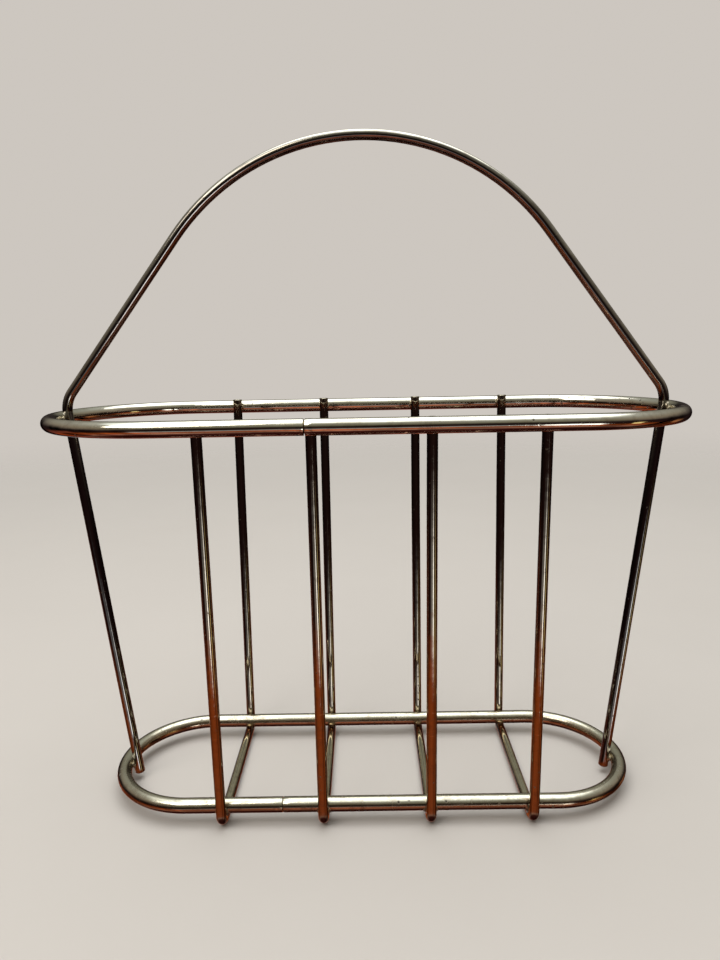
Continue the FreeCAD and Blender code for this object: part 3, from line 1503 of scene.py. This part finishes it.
@dataclass
class SeamPlugs:
    """The two packed plugs inside the rims' seams, which keep their shape and get their finish."""

    nodes: tuple[str, ...] = ("top_rim_spigot", "base_rim_spigot")

    def build(self, finish: Material) -> None:
        """Dresses the plugs.

        Args:
            finish: Their material.
        """
        for node in self.nodes:
            plug = frame["nodes"][node]
            plug.data.materials.clear()
            plug.data.materials.append(finish)
            LOG.info("%s: packed mesh, %s", node, Slot.PLUG.value)


# -------------------------------------------------------------------------------------------------- studio


@dataclass(frozen=True)
class LightStrip:
    """A tall narrow light in the surroundings, in degrees, its azimuth counted from the front rightwards."""

    azimuth: float
    half_width: float
    colour: Colour


@dataclass(frozen=True)
class Surroundings:
    """What the polished metal reflects, in place of a room, while the camera sees a plain backdrop.

    A height is -1 straight down, 0 level and 1 straight up. A pair of numbers says where a part starts and
    where it is full.
    """

    backdrop: Colour = (0.61, 0.57, 0.525, 1.0)
    bands: tuple[tuple[float, Colour], ...] = (
        (-1.00, (0.055, 0.014, 0.012, 1.0)),
        (-0.87, (0.095, 0.024, 0.020, 1.0)),
        (-0.75, (0.520, 0.290, 0.225, 1.0)),
        (-0.62, (0.500, 0.120, 0.038, 1.0)),
        (-0.48, (0.580, 0.125, 0.026, 1.0)),
        (-0.41, (0.050, 0.018, 0.014, 1.0)),
        (-0.32, (0.034, 0.014, 0.014, 1.0)),
        (0.00, (0.024, 0.014, 0.015, 1.0)),
        (0.16, (0.022, 0.019, 0.016, 1.0)),
        (0.34, (0.200, 0.190, 0.145, 1.0)),
        (0.62, (0.310, 0.315, 0.275, 1.0)),
        (0.78, (0.480, 0.490, 0.440, 1.0)),
        (0.88, (1.600, 1.670, 1.640, 1.0)),
        (1.00, (2.400, 2.500, 2.520, 1.0)),
    )
    side_fall: float = 0.50
    side_glow: Colour = (0.21, 0.175, 0.15, 1.0)
    side_glow_heights: Span = (-0.08, 0.22)
    bars: Pattern = Pattern(2.9, 4.0, 0.6, 0.38, 0.60)
    bar_light: float = 0.9
    bar_shade: float = 0.50
    rear_shade: float = 0.45
    rear: Span = (-0.25, 0.25)
    right_shade: float = 0.45
    right: Span = (0.0, 0.35)
    right_heights: Span = (-0.36, -0.46)
    shade_heights: Span = (0.35, -0.10)
    strips: tuple[LightStrip, ...] = (
        LightStrip(0.0, 34.0, (0.34, 0.38, 0.42, 1.0)),
        LightStrip(22.0, 8.0, (3.6, 3.9, 4.3, 1.0)),
        LightStrip(62.0, 6.0, (1.5, 1.25, 0.6, 1.0)),
        LightStrip(-112.0, 26.0, (0.20, 0.05, 0.03, 1.0)),
        LightStrip(118.0, 9.0, (0.45, 0.20, 0.09, 1.0)),
        LightStrip(205.0, 6.0, (0.50, 0.52, 0.56, 1.0)),
        LightStrip(160.0, 20.0, (0.20, 0.06, 0.03, 1.0)),
    )
    strip_core: float = 0.7
    strip_top: Span = (-0.20, -0.41)
    strip_foot: Span = (-0.51, -0.42)

    def build(self) -> None:
        """Makes the scene's world."""
        world = bpy.data.worlds.new("studio")
        bpy.context.scene.world = world
        world.use_nodes = True
        bench = Bench(world.node_tree)
        bench.tree.nodes.clear()
        direction = bench.node("ShaderNodeTexCoord").outputs["Generated"]
        axes = bench.node("ShaderNodeSeparateXYZ", {0: direction}).outputs
        level = bench.node("ShaderNodeCombineXYZ", {0: axes["X"], 1: axes["Y"]}).outputs[0]
        around = bench.vector("NORMALIZE", level)
        light = bench.scaled(self._bands(bench, axes), self._shade(bench, axes, around))
        light = self._with_strips(bench, light, axes["Z"], around)
        seen = bench.node("ShaderNodeLightPath").outputs["Is Camera Ray"]
        glow = bench.node("ShaderNodeBackground", {"Color": bench.mix(seen, light, self.backdrop)})
        bench.node("ShaderNodeOutputWorld", {"Surface": glow.outputs[0]})

    def _bands(self, bench: Bench, axes: Sockets) -> Socket:
        """Light by height, weaker at both sides, where a warm glow stands above eye level.

        Args:
            bench: Where the nodes go.
            axes: The direction's three parts.

        Returns:
            The light.
        """
        ramp = bench.node("ShaderNodeValToRGB", {0: bench.calc("MULTIPLY_ADD", axes["Z"], 0.5, 0.5)})
        stops = ramp.color_ramp.elements
        stops[0].color, stops[1].color = self.bands[0][1], self.bands[-1][1]
        for height, colour in self.bands[1:-1]:
            stops.new(height / 2 + 0.5).color = colour
        aside = bench.calc("POWER", axes["X"], 2.0)
        light = bench.scaled(ramp.outputs[0], bench.calc("MULTIPLY_ADD", aside, -self.side_fall, 1.0))
        glow = bench.calc("MULTIPLY", aside, bench.ease(axes["Z"], *self.side_glow_heights))
        return bench.mix(glow, light, self.side_glow, "ADD")

    def _shade(
        self, bench: Bench, axes: Sockets, around: Socket
    ) -> Socket:
        """What the light is multiplied by: upright bars, and shade at the rear and low on the right.

        Args:
            bench: Where the nodes go.
            axes: The direction's three parts.
            around: The direction without its height.

        Returns:
            The factor, which is 1 high up.
        """
        change = bench.calc("MULTIPLY_ADD", bench.mask(self.bars, around), self.bar_light, -self.bar_shade)
        change = bench.calc("MULTIPLY_ADD", bench.ease(axes["Y"], *self.rear), -self.rear_shade, change)
        low = bench.ease(axes["Z"], *self.right_heights)
        low_right = bench.calc("MULTIPLY", bench.ease(axes["X"], *self.right), low)
        change = bench.calc("MULTIPLY_ADD", low_right, -self.right_shade, change)
        return bench.calc("MULTIPLY_ADD", bench.ease(axes["Z"], *self.shade_heights), change, 1.0)

    def _with_strips(self, bench: Bench, light: Socket, height: Socket, around: Socket) -> Socket:
        """Adds the light strips.

        Args:
            bench: Where the nodes go.
            light: The light so far.
            height: The direction's height.
            around: The direction without its height.

        Returns:
            The light with the strips.
        """
        top, foot = bench.ease(height, *self.strip_top), bench.ease(height, *self.strip_foot)
        tall = bench.calc("MULTIPLY", top, foot)
        for strip in self.strips:
            azimuth, edge = math.radians(strip.azimuth), math.radians(strip.half_width)
            near = bench.vector("DOT_PRODUCT", around, (math.sin(azimuth), -math.cos(azimuth), 0.0))
            across = bench.ease(near, math.cos(edge), math.cos(edge * self.strip_core))
            light = bench.mix(bench.calc("MULTIPLY", across, tall), light, strip.colour, "ADD")
        return light


@dataclass(frozen=True)
class SoftBox:
    """A rectangular area light."""

    name: str
    place: Triple
    size: Span
    power: float
    colour: Triple


@dataclass(frozen=True)
class Studio:
    """Pale floor, surroundings, soft lights and the camera. Its turns are in radians."""

    surroundings: Surroundings = Surroundings()
    boxes: tuple[SoftBox, ...] = (
        SoftBox("key", (-0.75, -0.85, 1.35), (0.9, 0.7), 8.0, (1.0, 0.97, 0.90)),
        SoftBox("overhead", (0.15, 0.35, 1.7), (1.6, 1.1), 6.0, (1.0, 0.98, 0.95)),
    )
    box_target: Triple = (0.0, 0.0, 0.15)
    floor_z: float = -0.25 * MM
    floor_radius: float = 2.5
    floor_sides: int = 96
    camera_place: Triple = (-0.00004, -0.46976, 0.29489)
    yaw: float = -0.0083
    pitch: float = 0.1797
    roll: float = -0.0189
    lens: float = 27.265
    sensor: float = 36.0
    seen_from: float = 0.01
    seen_to: float = 50.0

    def camera(self) -> None:
        """Sets the camera in front of the rack, a little above its rim and turned slightly."""
        data = bpy.data.cameras.new("camera")
        data.lens, data.sensor_width = self.lens, self.sensor
        data.clip_start, data.clip_end = self.seen_from, self.seen_to
        ahead = Vector((math.sin(self.yaw), math.cos(self.yaw), 0.0))
        view = ahead * math.cos(self.pitch) - UP * math.sin(self.pitch)
        level = Vector((math.cos(self.yaw), -math.sin(self.yaw), 0.0))
        rise = level.cross(view)
        right = level * math.cos(self.roll) + rise * math.sin(self.roll)
        up = rise * math.cos(self.roll) - level * math.sin(self.roll)
        camera = link(bpy.data.objects.new("camera", data))
        turned = Matrix((right, up, -view)).transposed().to_4x4()
        camera.matrix_world = Matrix.Translation(self.camera_place) @ turned
        bpy.context.scene.camera = camera

    def floor(self) -> None:
        """Lays a round sheet of pale paper."""
        mesh = bmesh.new()
        bmesh.ops.create_circle(mesh, cap_ends=True, segments=self.floor_sides, radius=self.floor_radius)
        bmesh.ops.translate(mesh, verts=mesh.verts, vec=(0.0, 0.0, self.floor_z))
        floor = object_of(mesh, "floor")
        floor.data.materials.append(PaperFloor().build())
        floor.visible_glossy = False

    def lights(self) -> None:
        """Hangs the soft boxes, each aimed at the rack's middle."""
        for box in self.boxes:
            data = bpy.data.lights.new(box.name, "AREA")
            data.shape = "RECTANGLE"
            data.size, data.size_y = box.size
            data.energy, data.color = box.power, box.colour
            lamp = link(bpy.data.objects.new(box.name, data))
            lamp.location = box.place
            aim = Vector(self.box_target) - lamp.location
            lamp.rotation_euler = aim.to_track_quat("-Z", "Y").to_euler()
            lamp.visible_camera = False

    def build(self) -> None:
        """Sets up the studio."""
        self.camera()
        self.floor()
        self.lights()
        self.surroundings.build()
        bpy.context.scene.view_settings.view_transform = "Standard"
        LOG.info("studio: %d soft boxes, %d light strips", len(self.boxes), len(self.surroundings.strips))


# ---------------------------------------------------------------------------------------------------- main

RIM_BRASS = AgedBrass(
    name="Aged brass tube",
    # The pale top colour is partly a painted highlight and the red-brown under colour partly a painted
    # reflection of a brown floor, besides the tarnish.
    rubbed=(0.78, 0.76, 0.67, 1.0),
    side=(0.62, 0.565, 0.44, 1.0),
    under=(0.38, 0.19, 0.15, 1.0),
    mottle=0.42,
    gloss=(0.03, 0.10),
    spots=0.10,
    crowd_centre=(0.165, 0.035, 0.258),
    crowd_reach=0.10,
    crowd=0.85,
    spots_per_metre=300.0,
)
BASE_BRASS = replace(
    RIM_BRASS,
    name="Aged brass tube, worn dull",
    # Brown side and under colours: partly tarnish, partly a painted reflection of a brown floor.
    rubbed=(0.62, 0.59, 0.48, 1.0),
    side=(0.42, 0.32, 0.21, 1.0),
    under=(0.36, 0.17, 0.10, 1.0),
    mottle=0.55,
    gloss=(0.13, 0.26),
    spots=0.16,
    crowd=0.0,
)
ROD_BRASS = AgedBrass(
    name="Aged brass rod",
    # Dark side colour: partly tarnish, partly painted shade on the uprights; red-brown under colour partly a
    # painted reflection of a brown floor.
    rubbed=(0.60, 0.56, 0.43, 1.0),
    side=(0.33, 0.275, 0.205, 1.0),
    under=(0.30, 0.17, 0.12, 1.0),
    mottle=0.45,
    gloss=(0.025, 0.085),
    spots=0.12,
)
HANDLE_BRASS = replace(
    ROD_BRASS,
    name="Aged brass rod, handled",
    # Darker side and under colours than the rods: painted shade on the arch's sides and underside, besides
    # tarnish.
    rubbed=(0.62, 0.60, 0.52, 1.0),
    side=(0.24, 0.215, 0.185, 1.0),
    under=(0.11, 0.065, 0.055, 1.0),
)


def main() -> None:
    """Builds the studio and the rack."""
    logging.basicConfig(level=logging.INFO, format="%(name)s: %(message)s")
    Studio().build()
    effects = BrassEffects()
    sweep, row = RodSweep(), FilletRow()
    top = Rim("top_rim", seam_x=-33 * MM, seed=1.0)
    base = Rim("base_rim", seam_x=-56 * MM, seed=2.0, seam_gap=0.4 * MM)
    hoops = HoopRow(top, base)
    handle = HandleFrame(top, base, hoops.contact)
    top.build(sweep, RIM_BRASS.build(effects))
    base.build(sweep, BASE_BRASS.build(effects))
    hoops.build(sweep, ROD_BRASS.build(effects))
    handle.build(sweep, HANDLE_BRASS.build(effects))
    BrazedJoints(top, base, hoops, handle).build(row, BrazeFiller().build(effects))
    SeamPlugs().build(PlugBar().build(effects))


if __name__ == "__main__":
    main()
